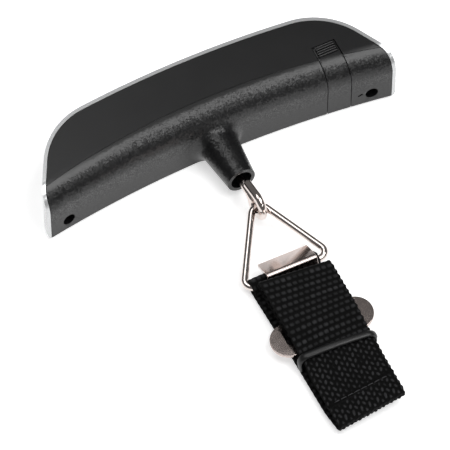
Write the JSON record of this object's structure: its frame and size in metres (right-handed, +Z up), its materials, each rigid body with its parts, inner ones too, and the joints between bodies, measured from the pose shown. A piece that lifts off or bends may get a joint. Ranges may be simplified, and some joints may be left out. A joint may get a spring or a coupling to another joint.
{
  "type": "digital luggage scale",
  "caption": "Hand-held digital luggage scale: arched two-shell handle with a neck, swivelling eye, triangle ring, folded webbing strap with a hook plate and a keeper band.",
  "frame": {"origin": "middle of the flat display face that the scale lies on", "axes": "+X along the handle, -Y from the handle towards the strap, +Z up out of the handle's back"},
  "size_m": [0.1318, 0.1434, 0.025],
  "materials": {
    "silver_shell": "silver-painted ABS, satin",
    "black_casing": "moulded ABS, satin back and fine grain on the shoulder and neck",
    "window": "clear acrylic, polished",
    "display": "liquid-crystal glass, grey-green",
    "inner_plastic": "natural nylon",
    "connector": "striped conductive rubber",
    "board": "green solder mask",
    "chips": "black epoxy",
    "spring_metal": "nickel-plated spring steel",
    "screw_steel": "black-oxide steel",
    "beam": "milled",
    "gauges": "amber polyimide",
    "plated_steel": "nickel-plated steel, polished",
    "stamped_plate": "nickel-plated stamping, polished",
    "cell": "stainless can",
    "button": "soft black silicone",
    "webbing": "woven nylon, ribbed",
    "band": "satin black elastomer"
  },
  "bodies": {
    "housing": {"front_shell": "silver_shell", "rear_casing": "black_casing", "display_window": "window", "display_glass": "display", "display_frame": "inner_plastic", "display_connector": "connector", "main_board": "board", "chip_cover": "chips", "board_chips": "chips", "key_domes": "spring_metal", "board_screws": "screw_steel", "load_beam": "beam", "strain_gauges": "gauges", "beam_screws": "screw_steel", "neck_bush": "inner_plastic", "case_screws": "screw_steel", "negative_contact": "spring_metal", "positive_contact": "spring_metal"},
    "power_key": {"power_button": "button"},
    "unit_key": {"unit_button": "button"},
    "drawer": {"battery_drawer": "black_casing", "coin_cell": "cell"},
    "eye": {"hook_eye": "plated_steel", "eye_washer": "plated_steel", "eye_nut": "plated_steel"},
    "ring": {"triangle_ring": "plated_steel"},
    "strap": {"strap_webbing": "webbing", "hook_plate": "stamped_plate"},
    "band": {"keeper_band": "band"}
  },
  "joints": [
    {"name": "power_press", "type": "slide", "parent": "housing", "child": "power_key", "axis": [0, 0, 1], "range_m": [0, 0.00025], "stiffness_N_per_m": 500},
    {"name": "unit_press", "type": "slide", "parent": "housing", "child": "unit_key", "axis": [0, 0, 1], "range_m": [0, 0.00025], "stiffness_N_per_m": 500},
    {"name": "drawer_slide", "type": "slide", "parent": "housing", "child": "drawer", "axis": [0, -1, 0], "range_m": [0, 0.021]},
    {"name": "eye_swivel", "type": "hinge", "parent": "housing", "child": "eye", "pos_m": [0, -0.03, 0.008], "axis": [0, 1, 0], "continuous": true},
    {"name": "ring_swing", "type": "hinge", "parent": "eye", "child": "ring", "pos_m": [0, -0.03795, 0.0072], "axis": [-0.9972, 0.0261, -0.0698], "range_deg": [-60, 60]},
    {"name": "strap_swing", "type": "hinge", "parent": "ring", "child": "strap", "pos_m": [-0.00277, -0.0643, 0.00392], "axis": [-0.9972, 0.0261, -0.0698], "range_deg": [-50, 50]},
    {"name": "band_slide", "type": "slide", "parent": "strap", "child": "band", "axis": [-0.0262, -0.9997, 0], "range_m": [0, 0.018]}
  ]
}
